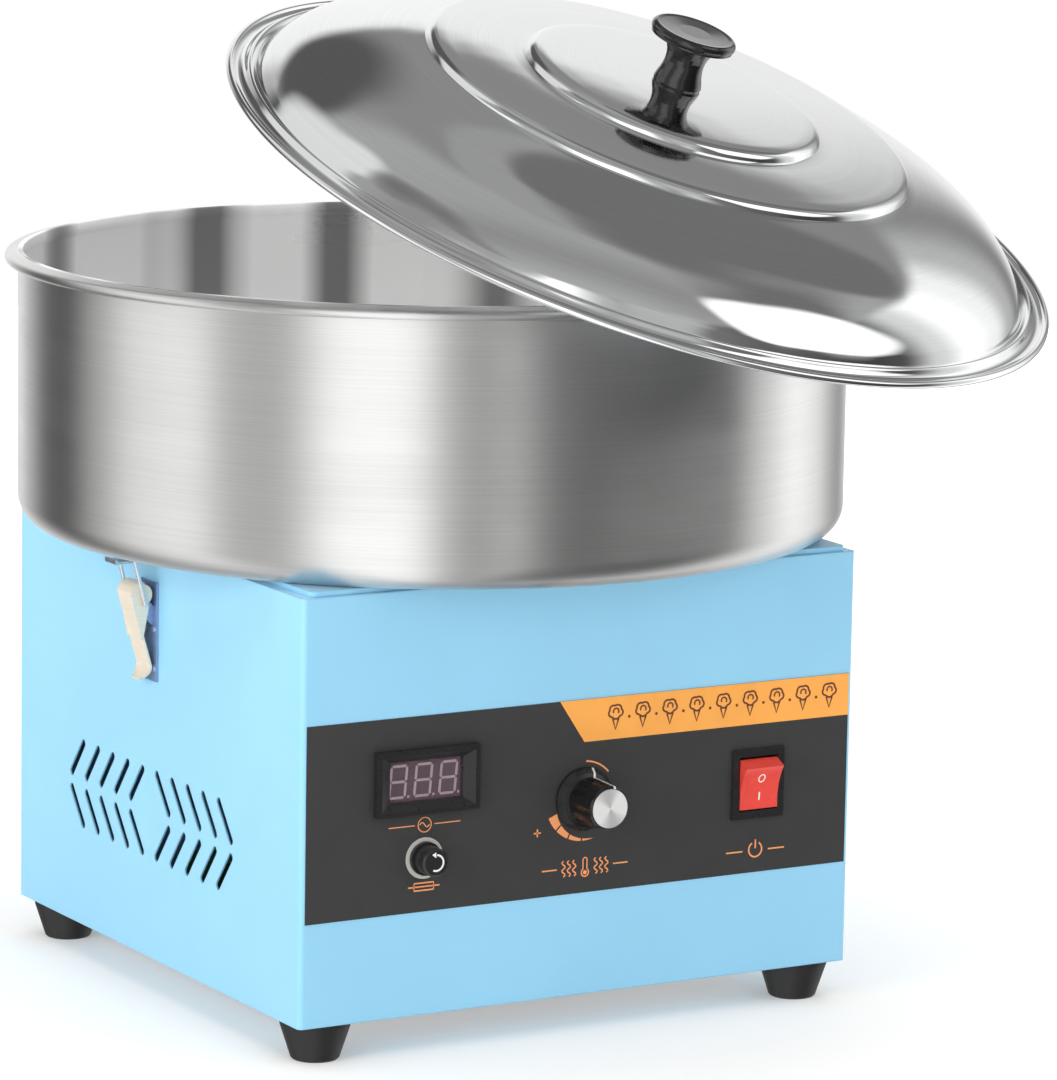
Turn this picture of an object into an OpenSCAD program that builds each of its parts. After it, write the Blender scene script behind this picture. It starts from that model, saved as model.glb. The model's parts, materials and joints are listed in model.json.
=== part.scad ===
// Cotton candy machine: sheet-metal casing, spun bowl, heated spinner head and loose lid.
// +X is the machine's right as seen from the front, the front faces -Y and +Z is up.
// The origin lies on the counter, midway between the four feet.

/* [Casing] */
// Width of the casing, left to right
casing_w = 376; // [360:1:400]
// Depth of the casing, front to back
casing_d = 376; // [360:1:400]
// Height of the casing's underside above the counter
casing_bottom = 24; // [20:1:30]
// Height of the casing's top edge above the counter
casing_top = 277; // [265:1:285]
// Thickness of the painted sheet
sheet = 1.2; // [1:0.1:1.5]
// Radius of the folded vertical corners
corner_r = 3; // [2.5:0.5:5]
// Height of the raised deck plate above the casing
deck_h = 3.4; // [3:0.1:5]

/* [Vent slots] */
// Length of one slot from tip to tip
slot_len = 31; // [26:0.5:33]
// Width of one slot
slot_w = 5.2; // [4:0.1:6]
// Lean of the slots from the vertical
slot_lean = 38; // [30:1:42]
// Distance between neighbouring slots
slot_pitch = 20.3; // [19:0.1:22]
// Slots in one row of one group
slots_in_row = 5; // [3:1:5]
// Height of the pattern's centre line
slot_z = 113; // [100:1:130]
// Distance of the pattern's centre from the casing's middle
slot_y = 6; // [-10:1:10]

/* [Bowl] */
// Outer radius over the rolled rim
rim_r = 260; // [256:1:264]
// Outer radius of the bowl's wall
wall_r = 252; // [248:1:253]
// Height of the top of the rim above the counter
rim_top = 446; // [430:1:460]
// Radius of the bowl's lower corner
bowl_corner = 17; // [14:1:24]
// Thickness of the stainless sheet
bowl_t = 1.2; // [1:0.1:1.5]
// Radius of the hole for the spindle
bowl_hole_r = 32; // [28:1:34]

/* [Lid] */
// Outer radius of the lid's edge bead
lid_r = 252; // [251:0.5:253]
// Angle that the lid is raised by, about the hand's path axis
lid_open = 24; // [0:1:24]
// Turn of the path axis about the vertical
lid_axis_turn = 19; // [15:1:20]
// Rise of the path axis above the horizontal
lid_axis_rise = 27.5; // [25:0.5:30]

/* [Front panel] */
// Height of the decal's lower edge
decal_low = 86; // [80:1:90]
// Height of the decal's upper edge
decal_high = 202.5; // [198:0.5:206]
// Radius of the temperature knob's skirt
skirt_r = 19; // [17:0.5:20]
// Width of the switch's frame
switch_w = 36; // [34:1:38]
// Height of the switch's frame
switch_h = 42.5; // [40:0.5:44]
// Tilt of the rocker at rest, upper half out
rocker_tilt = 14; // [8:1:14]

/* [Spinner head] */
// Outer radius of the head
head_r = 82; // [76:1:86]
// Slots cut in the band that the sugar leaves through
band_slots = 60; // [30:2:72]
// Radius of the spindle
spindle_r = 6; // [5.5:0.1:6]

/* [Latches] */
// Distance of the latches from the casing's middle
latch_y = 6; // [0:1:8]
// Radius of the bail wire
wire_r = 1.2; // [1:0.1:1.2]

/* [Hidden] */

$fn = 96;
eps = 0.01;
half_w = casing_w / 2;
half_d = casing_d / 2;
foot_x = half_w - 23;
foot_y = half_d - 23;
deck_top = casing_top + deck_h;
flange_w = 32;
decal_t = 0.4;
strip_t = 0.3;

// Places of the controls on the front face
meter_x = -107;
meter_z = 164.5;
fuse_x = -107;
fuse_z = 118;
dial_x = 0;
dial_z = 143;
switch_x = 121;
switch_z = 141;

// Voltmeter sizes
meter_w = 68;
meter_h = 38.5;
meter_proud = 5.5;
window_w = 48.5;
window_h = 24.5;
meter_case_w = 62;
meter_case_h = 33;
meter_case_d = 28;
meter_wall = 1.5;

// Fuse sizes
fuse_barrel_r = 6.3;
fuse_bore_r = 4.6;
fuse_flange_r = 10;
fuse_cap_r = 8.5;
fuse_ring_r = 12.3;

// Dial sizes
dial_shaft_r = 3;
pointer_at = 75.5;
dial_bush_r = 4.6;
running_gap = 0.05;

// Switch sizes
switch_open_w = 27;
switch_open_h = 33;
switch_case_d = 24;
rocker_w = 26.2;
rocker_pivot = -2;
rocker_dish = 6.5;
trunnion_r = 2;

// Latch sizes, as distances out from the casing's side and heights
latch_pivot = [10, 249];
bail_pivot = [9, 243];
bail_top = [16.5, 271.5];
pin_r = 1.5;
bail_half = 11.2;
lever_half = 9.2;
ear_half = 7.4;

// Heights on the spindle, above the counter
head_low = 308;
band_low = 314;
band_high = 352;
cap_top = 372;
sugar_r = 24;
screw_seat = 363.4;
bearing_low = 122;
bearing_high = 204;
bracket_z = 216;
sleeve_low = 226;
sleeve_high = 264;
ring_r = 16;
standoff_at = 55;

// The lid's path axis: a unit direction and a point on it
lid_axis = [cos(lid_axis_rise) * cos(lid_axis_turn),
            cos(lid_axis_rise) * sin(lid_axis_turn),
            sin(lid_axis_rise)];
lid_pivot = [110, -216, 10];
lid_seat = rim_top + 0.3;
lid_t = 1.2;
lid_bead = 2.2;
lid_top = 67.5;

// ---- Helpers ----------------------------------------------------------------

// Local z points out of the front face, local y points up
module on_front(x, z) {
    translate([x, -half_d, z])
        rotate([90, 0, 0])
            children();
}

// Local x points out of the left side, local y points up, local z points to the back
module on_left() {
    translate([-half_w, latch_y, 0])
        rotate([90, 0, 180])
            children();
}

module on_both_sides() {
    children();
    mirror([1, 0, 0])
        children();
}

module at_feet() {
    for (x = [-foot_x, foot_x], y = [-foot_y, foot_y])
        translate([x, y, 0])
            children();
}

module at_standoffs() {
    for (x = [-standoff_at, standoff_at], y = [-standoff_at, standoff_at])
        translate([x, y, 0])
            children();
}

module rounded_square(w, h, r) {
    square([w - 2 * r, h], center = true);
    square([w, h - 2 * r], center = true);
    for (x = [-1, 1], y = [-1, 1])
        translate([x * (w / 2 - r), y * (h / 2 - r)])
            circle(r);
}

module rounded_plate(w, h, r, t) {
    linear_extrude(t)
        rounded_square(w, h, r);
}

module ring(outer, inner, low, high) {
    translate([0, 0, low])
        difference() {
            cylinder(r = outer, h = high - low);
            translate([0, 0, -eps])
                cylinder(r = inner, h = high - low + 2 * eps);
        }
}

// A straight slot with round ends, from tip to tip along y
module slot_shape(length, width, depth) {
    run = length / 2 - width / 2;
    translate([0, 0, -depth / 2]) {
        translate([-width / 2, -run, 0])
            cube([width, 2 * run, depth]);
        for (s = [-1, 1])
            translate([0, s * run, 0])
                cylinder(d = width, h = depth, $fn = 24);
    }
}

function arc(cx, cy, r, from, to, n) =
    [for (i = [0:n]) let (a = from + (to - from) * i / n) [cx + r * cos(a), cy + r * sin(a)]];

function bend(a, b, c, n) =
    [for (i = [0:n]) let (t = i / n)
        a * (1 - t) * (1 - t) + b * 2 * t * (1 - t) + c * t * t];

function lowered(points, t) = [for (p = points) [p[0], p[1] - t]];

function reversed(points) = [for (i = [len(points) - 1:-1:0]) points[i]];

// ---- Casing -----------------------------------------------------------------

// Two groups of slots that lean towards each other, cut along X
module vent_slots() {
    rise = slot_len * cos(slot_lean) / 2;
    row = rise + 3;
    first = 17.5;
    for (side = [-1, 1], level = [-1, 1], i = [0:slots_in_row - 1])
        translate([0, slot_y + side * (first + i * slot_pitch), slot_z + level * row])
            rotate([side * level * slot_lean, 0, 0])
                rotate([90, 0, 90])
                    slot_shape(slot_len, slot_w, casing_w + 10);
}

module casing_shell() {
    inner_w = casing_w - 2 * sheet;
    inner_d = casing_d - 2 * sheet;
    height = casing_top - casing_bottom;
    vent_rows = 4;
    vent_cols = 5;
    color("skyblue")
        difference() {
            translate([0, 0, casing_bottom])
                rounded_plate(casing_w, casing_d, corner_r, height);
            translate([0, 0, casing_bottom + sheet])
                rounded_plate(inner_w, inner_d, corner_r - sheet, height - 2 * sheet);
            translate([0, 0, casing_bottom - 1])
                rounded_plate(inner_w - 2 * flange_w, inner_d - 2 * flange_w, 6, height + 2);
            vent_slots();
            on_front(meter_x, meter_z)
                cube([meter_case_w + 1, meter_case_h + 1, 4 * sheet], center = true);
            on_front(fuse_x, fuse_z)
                cylinder(r = fuse_barrel_r, h = 4 * sheet, center = true);
            on_front(dial_x, dial_z)
                cylinder(r = dial_bush_r, h = 4 * sheet, center = true);
            on_front(switch_x, switch_z)
                cube([switch_open_w + 3, switch_open_h + 3, 4 * sheet], center = true);
            at_feet()
                cylinder(r = 2.75, h = casing_bottom + 10);
            base_screw_holes(1.8);
            translate([gland_x, half_d, gland_z])
                rotate([90, 0, 0])
                    cylinder(r = gland_r, h = 4 * sheet, center = true);
            for (row = [0:vent_rows - 1], col = [0:vent_cols - 1])
                translate([(col - (vent_cols - 1) / 2) * 40, half_d, 150 + row * 16])
                    rotate([90, 0, 0])
                        rotate([0, 0, 90])
                            slot_shape(30, slot_w, 4 * sheet);
        }
}

module top_deck() {
    inset_side = 6;
    inset_front = 2;
    deck_sheet = 1.5;
    w = casing_w - 2 * inset_side;
    d = casing_d - 2 * inset_front;
    color("skyblue")
        difference() {
            translate([0, 0, casing_top])
                rounded_plate(w, d, 4, deck_h);
            translate([0, 0, casing_top - eps])
                rounded_plate(w - 2 * deck_sheet, d - 2 * deck_sheet, 3, deck_h - deck_sheet);
            cylinder(r = 36, h = deck_top + 5);
            at_standoffs()
                cylinder(r = 2.1, h = deck_top + 5);
        }
}

base_screw_at = 120;
base_screw_edge = 12;

module at_base_screws() {
    for (s = [-base_screw_at, base_screw_at], e = [-1, 1]) {
        translate([s, e * (half_d - base_screw_edge), 0])
            children();
        translate([e * (half_w - base_screw_edge), s, 0])
            children();
    }
}

module base_screw_holes(r) {
    at_base_screws()
        cylinder(r = r, h = casing_bottom + 10, $fn = 32);
}

base_t = 1.5;

module base_plate() {
    low = casing_bottom + sheet;
    color("lightgray")
        difference() {
            translate([0, 0, low])
                rounded_plate(casing_w - 2 * sheet - 1, casing_d - 2 * sheet - 1, 3, base_t);
            at_feet()
                cylinder(r = 2.75, h = low + 5);
            base_screw_holes(1.8);
            for (x = [-60:30:60], y = [-75, 75])
                translate([x, y, low])
                    slot_shape(60, 6, 10);
        }
}

module base_screws() {
    at_base_screws() {
        translate([0, 0, casing_bottom - 2])
            cylinder(r1 = 2.6, r2 = 3.4, h = 2, $fn = 32);
        color("silver")
            translate([0, 0, casing_bottom - eps])
                cylinder(r = 1.7, h = 9, $fn = 32);
    }
}

// ---- Feet -------------------------------------------------------------------

foot_low_r = 14.5;
foot_high_r = 21;
foot_recess = 12;

module feet() {
    color("black")
        at_feet()
            rotate_extrude()
                polygon([[2.75, foot_recess], [6.5, foot_recess], [6.5, 0], [foot_low_r - 1, 0],
                         [foot_low_r, 1], [foot_high_r, casing_bottom - 3],
                         [foot_high_r, casing_bottom], [2.75, casing_bottom]]);
}

module foot_screws() {
    color("silver")
        at_feet() {
            translate([0, 0, foot_recess - 3])
                cylinder(r = 4.6, h = 3);
            translate([0, 0, foot_recess - eps])
                cylinder(r = 2.5, h = 24);
        }
}

module foot_nuts() {
    low = casing_bottom + sheet + base_t;
    color("silver")
        at_feet()
            difference() {
                translate([0, 0, low])
                    cylinder(r = 4.6, h = 4, $fn = 6);
                translate([0, 0, low - 1])
                    cylinder(r = 2.5, h = 6);
            }
}

// ---- Front panel ------------------------------------------------------------

module control_decal() {
    height = decal_high - decal_low;
    width = casing_w - 2 * corner_r;
    middle = (decal_high + decal_low) / 2;
    color("dimgray")
        difference() {
            on_front(0, middle)
                translate([-width / 2, -height / 2, 0])
                    cube([width, height, decal_t]);
            on_front(meter_x, meter_z)
                cube([meter_case_w + 1, meter_case_h + 1, 4], center = true);
            on_front(fuse_x, fuse_z)
                cylinder(r = fuse_barrel_r, h = 4, center = true);
            on_front(dial_x, dial_z)
                cylinder(r = dial_bush_r, h = 4, center = true);
            on_front(switch_x, switch_z)
                cube([switch_open_w + 3, switch_open_h + 3, 4], center = true);
        }
}

strip_low = 177;

module accent_strip() {
    right = half_w - corner_r;
    color("orange")
        on_front(0, 0)
            translate([0, 0, decal_t])
                linear_extrude(strip_t)
                    polygon([[-17, decal_high], [0, strip_low],
                             [right, strip_low], [right, decal_high]]);
}

module voltmeter_bezel() {
    lip = 3;
    color("black")
        on_front(meter_x, meter_z)
            difference() {
                translate([-meter_w / 2, -meter_h / 2, decal_t])
                    cube([meter_w, meter_h, meter_proud - decal_t]);
                hull() {
                    translate([0, 0, meter_proud])
                        cube([meter_w - 2 * lip, meter_h - 2 * lip, eps], center = true);
                    translate([0, 0, meter_proud - 3.5])
                        cube([window_w, window_h, eps], center = true);
                }
                cube([window_w, window_h, 3 * meter_proud], center = true);
            }
}

module voltmeter_window() {
    color("rosybrown")
        on_front(meter_x, meter_z)
            translate([-window_w / 2, -window_h / 2, decal_t])
                cube([window_w, window_h, 1.2]);
}

digit_w = 10;
digit_h = 17;
digit_pitch = 14.5;

// Three seven-segment digits that stand on a small board
module voltmeter_display() {
    bar = 1.8;
    board_w = meter_case_w - 2 * meter_wall;
    board_h = meter_case_h - 2 * meter_wall;
    color("gainsboro")
        on_front(meter_x, meter_z) {
            translate([-board_w / 2, -board_h / 2, -3])
                cube([board_w, board_h, 2]);
            for (i = [-1:1])
                translate([i * digit_pitch, 0, -1]) {
                    for (y = [-1, 0, 1])
                        translate([-digit_w / 2 + bar, y * (digit_h - bar) / 2 - bar / 2, 0])
                            cube([digit_w - 2 * bar, bar, 0.8]);
                    for (x = [-1, 1], y = [-1, 1])
                        translate([x * (digit_w - bar) / 2 - bar / 2,
                                   y * digit_h / 4 - digit_h / 4 + bar * 0.7, 0])
                            cube([bar, digit_h / 2 - bar * 1.4, 0.8]);
                }
        }
}

module voltmeter_case() {
    wall = meter_wall;
    color("black")
        on_front(meter_x, meter_z)
            difference() {
                translate([-meter_case_w / 2, -meter_case_h / 2, -meter_case_d])
                    cube([meter_case_w, meter_case_h, meter_case_d + decal_t]);
                translate([-meter_case_w / 2 + wall, -meter_case_h / 2 + wall,
                           wall - meter_case_d])
                    cube([meter_case_w - 2 * wall, meter_case_h - 2 * wall,
                          meter_case_d + decal_t]);
            }
}

fuse_back = 34;

module fuse_holder() {
    front = 3.4;
    color("black")
        on_front(fuse_x, fuse_z) {
            difference() {
                union() {
                    translate([0, 0, -fuse_back])
                        cylinder(r = fuse_barrel_r, h = fuse_back + 1);
                    translate([0, 0, 1])
                        cylinder(r = fuse_flange_r, h = front - 1);
                }
                translate([0, 0, 2 - fuse_back])
                    cylinder(r = fuse_bore_r, h = fuse_back + front);
            }
            translate([-1.5, -0.4, -fuse_back - 7])
                cube([3, 0.8, 7 + eps]);
        }
}

module fuse_ring() {
    color("gainsboro")
        on_front(fuse_x, fuse_z)
            ring(fuse_ring_r, fuse_barrel_r, decal_t, 1);
}

module fuse_nut() {
    color("black")
        on_front(fuse_x, fuse_z)
            translate([0, 0, -sheet - 5])
                difference() {
                    cylinder(r = 10, h = 5, $fn = 6);
                    translate([0, 0, -1])
                        cylinder(r = fuse_barrel_r, h = 7);
                }
}

module fuse_cap() {
    low = 3.8;
    high = 15;
    stem_r = 4.2;
    link_r = 3;
    color("black")
        on_front(fuse_x, fuse_z)
            rotate_extrude()
                polygon([[0, 2], [link_r, 2], [link_r, -6], [stem_r, -6], [stem_r, low],
                         [fuse_cap_r, low], [fuse_cap_r, high - 1.2],
                         [fuse_cap_r - 1.2, high], [0, high]]);
}

module fuse_link() {
    length = 30;
    color("whitesmoke")
        on_front(fuse_x, fuse_z)
            translate([0, 0, 2 - length])
                cylinder(r = 3, h = length);
}

// ---- Temperature dial -------------------------------------------------------

grip_low = 6;
grip_high = 31;
grip_r = 14;

module temperature_knob() {
    scallops = 8;
    color("black")
        on_front(dial_x, dial_z)
            difference() {
                rotate_extrude()
                    polygon([[dial_shaft_r, 16], [dial_shaft_r, 5], [13, 5], [13, 1.2],
                             [skirt_r, 1.2], [skirt_r, 2.4], [skirt_r - 2.5, grip_low],
                             [grip_r, grip_low + 1], [grip_r - 0.8, grip_high - 1],
                             [grip_r - 1.8, grip_high], [11.8, grip_high],
                             [11.8, grip_high - 1.5], [0, grip_high - 1.5], [0, 16]]);
                for (i = [0:scallops - 1])
                    rotate([0, 0, pointer_at + 360 / scallops * (i + 0.5)])
                        translate([grip_r + 3.6, 0, grip_low + 1.5])
                            cylinder(r = 5, h = grip_high, $fn = 40);
            }
}

module knob_insert() {
    color("silver")
        on_front(dial_x, dial_z)
            translate([0, 0, grip_high - 1.5])
                cylinder(r = 11.6, h = 2);
}

module dimmer_shaft() {
    color("silver")
        on_front(dial_x, dial_z)
            translate([0, 0, -14])
                cylinder(r = dial_shaft_r, h = 30);
}

module dimmer_body() {
    color("saddlebrown")
        on_front(dial_x, dial_z)
            difference() {
                union() {
                    translate([0, 0, -22])
                        cylinder(r = 12, h = 22 - sheet);
                    translate([0, 0, -sheet - eps])
                        cylinder(r = dial_bush_r, h = sheet + 4.2);
                    translate([-6, -18, -18])
                        cube([12, 10, 2]);
                }
                translate([0, 0, -14.3])
                    cylinder(r = dial_shaft_r + running_gap, h = 30);
            }
}

module dimmer_nut() {
    color("silver")
        on_front(dial_x, dial_z)
            translate([0, 0, decal_t])
                difference() {
                    cylinder(r = 7.5, h = 2.6, $fn = 6);
                    translate([0, 0, -1])
                        cylinder(r = dial_bush_r, h = 5);
                }
}

// ---- Rocker switch ----------------------------------------------------------

module switch_housing() {
    wall = 1.4;
    proud = 2.6;
    color("black")
        on_front(switch_x, switch_z)
            difference() {
                union() {
                    translate([-switch_w / 2, -switch_h / 2, decal_t])
                        cube([switch_w, switch_h, proud - decal_t]);
                    translate([-switch_open_w / 2 - wall, -switch_open_h / 2 - wall,
                               -switch_case_d])
                        cube([switch_open_w + 2 * wall, switch_open_h + 2 * wall,
                              switch_case_d + 1]);
                }
                translate([-switch_open_w / 2, -switch_open_h / 2, wall - switch_case_d])
                    cube([switch_open_w, switch_open_h, switch_case_d + 10]);
                translate([0, 0, rocker_pivot])
                    rotate([0, 90, 0])
                        cylinder(r = trunnion_r + running_gap,
                                 h = switch_open_w + 2 * wall - 0.6, center = true);
            }
}

module switch_rocker() {
    dish_r = 40;
    dish_turn = 20;
    outline = concat(arc(0, rocker_dish + dish_r, dish_r, -90 - dish_turn, dish_turn - 90, 12),
                     [[15.6, 0], [13, -7], [-13, -7], [-15.6, 0]]);
    color("red")
        on_front(switch_x, switch_z)
            translate([0, 0, rocker_pivot])
                rotate([rocker_tilt, 0, 0]) {
                    translate([-rocker_w / 2, 0, 0])
                        rotate([90, 0, 90])
                            linear_extrude(rocker_w)
                                polygon(outline);
                    rotate([0, 90, 0])
                        cylinder(r = trunnion_r, h = rocker_w + 2.4, center = true);
                }
}

module switch_terminals() {
    color("gold")
        on_front(switch_x, switch_z)
            for (x = [-7, 7], y = [-8, 8])
                translate([x - 3.2, y - 0.4, -switch_case_d - 9])
                    cube([6.4, 0.8, 9]);
}

// ---- Bowl -------------------------------------------------------------------

module bowl() {
    low = deck_top;
    t = bowl_t;
    lip_r = wall_r - 3;
    bead_r = 3;
    bead_x = rim_r - bead_r;
    bead_z = rim_top - 4.5;
    corner_x = wall_r - bowl_corner;
    corner_z = low + bowl_corner;
    color("silver")
        rotate_extrude($fn = 180) {
            polygon(concat(
                [[bowl_hole_r, low + t], [bowl_hole_r, low]],
                arc(corner_x, corner_z, bowl_corner, -90, 0, 8),
                [[wall_r, rim_top - 8], [bead_x - 1, rim_top - 3.2], [bead_x - 1, rim_top - 2],
                 [lip_r + 1, rim_top], [lip_r, rim_top - 0.4], [lip_r, rim_top - 4],
                 [wall_r - t, rim_top - 8]],
                arc(corner_x, corner_z, bowl_corner - t, 0, -90, 8)));
            translate([bead_x, bead_z])
                circle(bead_r, $fn = 32);
        }
}

module bowl_collar() {
    inner = bowl_hole_r - 4;
    color("silver")
        rotate_extrude()
            polygon([[bowl_hole_r + 12, deck_top + bowl_t], [bowl_hole_r + 12, deck_top + 2.4],
                     [inner + 3, deck_top + 7], [inner + 1.2, deck_top + 18],
                     [inner, deck_top + 18], [inner, deck_top + bowl_t]]);
}

module catch_shape() {
    plate = 1.5;
    tongue = 269.8;
    shank = 12.3;
    tip = 27;
    half = 7;
    translate([0, 0, -half])
        linear_extrude(2 * half)
            polygon([[5, deck_top - plate], [shank, deck_top - plate], [shank, tongue - plate],
                     [tip, tongue - plate], [tip, tongue + 1.2], [tip - plate, tongue + 1.2],
                     [tip - plate, tongue], [shank + plate, tongue],
                     [shank + plate, deck_top], [5, deck_top]]);
}

module bowl_catches() {
    color("silver")
        on_both_sides()
            on_left()
                catch_shape();
}

// ---- Latches ----------------------------------------------------------------

module latch_base() {
    plate = 1.5;
    low = 195.5;
    high = 256;
    half = 11;
    ear_r = 5.5;
    p = latch_pivot;
    on_left() {
        translate([0, low, -half])
            cube([plate, high - low, 2 * half]);
        for (z = [-ear_half, ear_half - plate])
            translate([0, 0, z])
                difference() {
                    union() {
                        linear_extrude(plate)
                            polygon([[plate - eps, p[1] - 20], [plate - eps, p[1] - 8],
                                     [p[0] - 4.4, p[1] - 3.2], p,
                                     [p[0] + 3.9, p[1] - 3.8], [p[0] - 1, p[1] - 13]]);
                        translate([p[0], p[1], 0])
                            cylinder(r = ear_r, h = plate);
                    }
                    translate([p[0], p[1], -1])
                        cylinder(r = pin_r, h = plate + 2, $fn = 32);
                }
        for (y = [low + 8, low + 32], z = [-8, 8])
            translate([plate - eps, y, z])
                rotate([0, 90, 0])
                    cylinder(r1 = 2.4, r2 = 1.6, h = 1.2, $fn = 32);
    }
}

module lever_sheet(points, half) {
    translate([0, 0, -half])
        linear_extrude(2 * half)
            polygon(points);
}

// Outline of the lever's sheet seen face on, round where the finger lifts it
module finger_tab(middle) {
    spare = 1;
    blade_h = 60;
    translate([0, middle])
        circle(r = lever_half + 0.2);
    translate([-lever_half - spare, middle])
        square([2 * (lever_half + spare), blade_h]);
}

module latch_lever() {
    t = 1.5;
    outer = 7.7;
    curl_c = [12.7, 205];
    curl_r = 9.5;
    blade_reach = 30;
    side = lever_half - t;
    p = latch_pivot;
    on_left() {
        intersection() {
            lever_sheet(concat(
                arc(p[0], p[1], outer, 100, 0, 8),
                arc(curl_c[0], curl_c[1], curl_r - t, 180, 250, 6),
                arc(curl_c[0], curl_c[1], curl_r, 250, 180, 6),
                arc(p[0], p[1], outer - t, 0, 100, 8)), lever_half);
            rotate([0, 90, 0])
                linear_extrude(blade_reach)
                    finger_tab(curl_c[1]);
        }
        for (z = [-lever_half, side])
            translate([0, 0, z])
                difference() {
                    union() {
                        translate([p[0], p[1], 0])
                            cylinder(r = outer - t + 0.3, h = t);
                        linear_extrude(t)
                            polygon([[p[0] + outer - 1, p[1]], [p[0] - 3.4, p[1] - 2],
                                     [bail_pivot[0] - 3.4, bail_pivot[1] - 1],
                                     [9.3, 222], [10.9, 222]]);
                    }
                    translate([p[0], p[1], -1])
                        cylinder(r = pin_r + running_gap, h = t + 2, $fn = 32);
                    translate([bail_pivot[0], bail_pivot[1], -1])
                        cylinder(r = wire_r + running_gap, h = t + 2, $fn = 32);
                }
    }
}

module latch_bail() {
    run = bail_top - bail_pivot;
    length = norm(run);
    lean = atan2(run[0], run[1]);
    end_at = ear_half + 0.4;
    on_left() {
        for (s = [-1, 1]) {
            translate([bail_pivot[0], bail_pivot[1], s * bail_half])
                rotate([-90, 0, -lean])
                    cylinder(r = wire_r, h = length, $fn = 32);
            for (p = [bail_pivot, bail_top])
                translate([p[0], p[1], s * bail_half])
                    sphere(r = wire_r, $fn = 32);
            translate([bail_pivot[0], bail_pivot[1], s > 0 ? end_at : -bail_half])
                cylinder(r = wire_r, h = bail_half - end_at, $fn = 32);
        }
        translate([bail_top[0], bail_top[1], -bail_half])
            cylinder(r = wire_r, h = 2 * bail_half, $fn = 32);
    }
}

module latch_left_base() {
    color("silver")
        latch_base();
}

module latch_right_base() {
    color("silver")
        mirror([1, 0, 0])
            latch_base();
}

module latch_left_lever() {
    color("whitesmoke")
        latch_lever();
}

module latch_right_lever() {
    color("whitesmoke")
        mirror([1, 0, 0])
            latch_lever();
}

module latch_left_bail() {
    color("silver")
        latch_bail();
}

module latch_right_bail() {
    color("silver")
        mirror([1, 0, 0])
            latch_bail();
}

module latch_pins() {
    half = lever_half + 0.2;
    color("silver")
        on_both_sides()
            on_left()
                translate([latch_pivot[0], latch_pivot[1], -half])
                    cylinder(r = pin_r, h = 2 * half, $fn = 32);
}

// ---- Spinner head -----------------------------------------------------------

hub_r = 16;

module head_pan() {
    color("lightgray")
        rotate_extrude()
            polygon([[spindle_r, head_low - 6], [hub_r, head_low - 6], [hub_r + 2, head_low],
                     [head_r - 14, head_low], [head_r, band_low - 4], [head_r, band_low],
                     [spindle_r, band_low]]);
}

heater_r = 64;

module heater_ribbon() {
    ring(heater_r + 0.8, heater_r - 0.8, band_low + 11, band_high - 7);
}

module head_heater() {
    color("dimgray")
        heater_ribbon();
}

// Ceramic posts, grooved where the heater's ribbon lies in them
module head_insulators() {
    count = 6;
    color("whitesmoke")
        difference() {
            for (i = [0:count - 1])
                rotate([0, 0, 360 / count * i])
                    translate([heater_r - 3.5, 0, band_low])
                        cylinder(r = 3, h = band_high - band_low - 2);
            heater_ribbon();
        }
}

module head_band() {
    band_out = head_r - 3;
    color("silver")
        difference() {
            ring(band_out, band_out - 1.2, band_low, band_high);
            for (i = [0:band_slots - 1])
                rotate([0, 0, 360 / band_slots * i])
                    translate([band_out - 4, -1.1, band_low + 5])
                        cube([8, 2.2, band_high - band_low - 10]);
        }
}

module head_cap() {
    lip = 3;
    color("lightgray")
        difference() {
            rotate_extrude()
                polygon([[head_r, band_high], [head_r, band_high + 4], [head_r - 3, band_high + 6],
                         [sugar_r + lip, cap_top], [sugar_r, cap_top],
                         [sugar_r, cap_top - 8], [head_r - 6, band_high]]);
            at_head_screws() {
                translate([0, 0, head_low])
                    cylinder(r = 2.1, h = 100, $fn = 32);
                translate([0, 0, screw_seat])
                    cylinder(r = 4.4, h = 20, $fn = 32);
            }
        }
}

module at_head_screws() {
    count = 4;
    for (i = [0:count - 1])
        rotate([0, 0, 45 + 360 / count * i])
            translate([44, 0, 0])
                children();
}

module head_screws() {
    color("silver")
        at_head_screws() {
            translate([0, 0, head_low + 6])
                cylinder(r = 2, h = screw_seat - head_low - 6, $fn = 32);
            translate([0, 0, screw_seat])
                cylinder(r1 = 4, r2 = 3, h = 2.6, $fn = 32);
        }
}

module spindle() {
    nut_low = head_low + 6;
    color("silver") {
        translate([0, 0, bearing_low - 4])
            cylinder(r = spindle_r, h = nut_low + 14 - bearing_low + 4);
        translate([0, 0, nut_low])
            cylinder(r = 9, h = 8, $fn = 6);
    }
}

module slip_ring_sleeve() {
    color("maroon")
        ring(ring_r - 4, spindle_r, sleeve_low, sleeve_high);
}

module slip_rings() {
    color("gold")
        for (z = [sleeve_low + 6, sleeve_low + 22])
            ring(ring_r, ring_r - 4, z, z + 9);
}

module rotor() {
    color("gray")
        ring(36, spindle_r, bearing_low + 14, bearing_high - 8);
}

// ---- Motor ------------------------------------------------------------------

motor_r = 50;
bearing_r = 15;

module motor_housing() {
    wall = 4;
    color("slategray")
        difference() {
            translate([0, 0, bearing_low - 6])
                cylinder(r = motor_r, h = bracket_z - bearing_low + 6);
            translate([0, 0, bearing_low + 10])
                cylinder(r = motor_r - wall, h = bearing_high - bearing_low - 13);
            translate([0, 0, bearing_low])
                cylinder(r = bearing_r, h = 20);
            translate([0, 0, bearing_high - 10])
                cylinder(r = bearing_r, h = 18);
            translate([0, 0, bearing_low - 10])
                cylinder(r = spindle_r + 1, h = 200);
            at_motor_screws()
                translate([0, 0, bracket_z - 12])
                    cylinder(r = 2, h = 20, $fn = 32);
        }
}

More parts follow.
